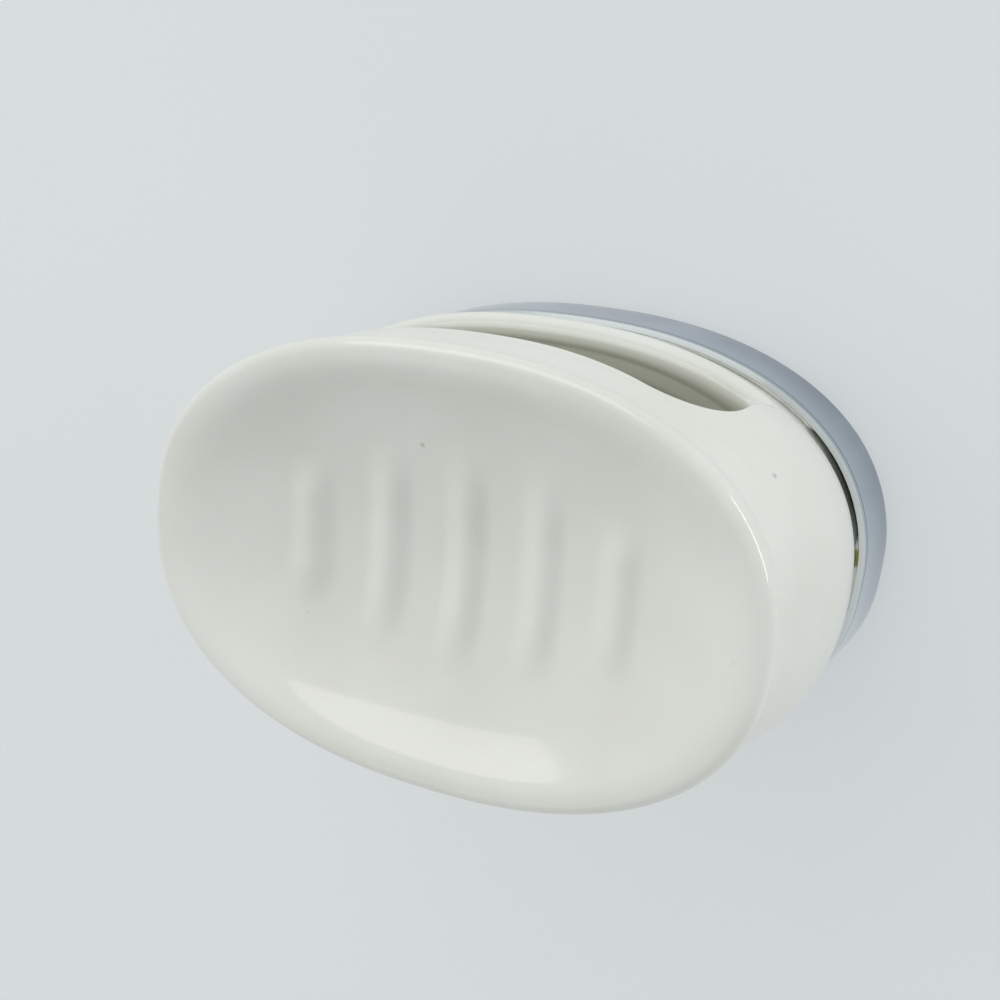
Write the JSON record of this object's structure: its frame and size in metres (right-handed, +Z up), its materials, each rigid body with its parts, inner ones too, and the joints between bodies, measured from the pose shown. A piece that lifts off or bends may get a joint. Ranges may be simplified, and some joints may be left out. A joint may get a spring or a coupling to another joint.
{
  "type": "soap dish",
  "caption": "Oval glazed ceramic soap dish: ribbed bowl above an open slot, on a swelling body glued into a polished chrome base ring with rubber feet.",
  "frame": {"origin": "middle of the base, on the surface that the rubber feet stand on", "axes": "+Z up through the dish, +X along the oval's length, +Y across it towards one mouth of the slot"},
  "size_m": [0.1302, 0.084, 0.07],
  "materials": {
    "white_glaze": "glossy white glaze",
    "polished_chrome": "polished",
    "cured_glue": "yellowed clear glue",
    "plate_plastic": "moulded matt white",
    "foot_rubber": "matt"
  },
  "bodies": {
    "root": {"ceramic_body": "white_glaze", "chrome_base_ring": "polished_chrome", "glue_bead": "cured_glue", "base_plate": "plate_plastic", "rubber_foot_1": "foot_rubber", "rubber_foot_2": "foot_rubber", "rubber_foot_3": "foot_rubber", "rubber_foot_4": "foot_rubber"}
  },
  "joints": []
}
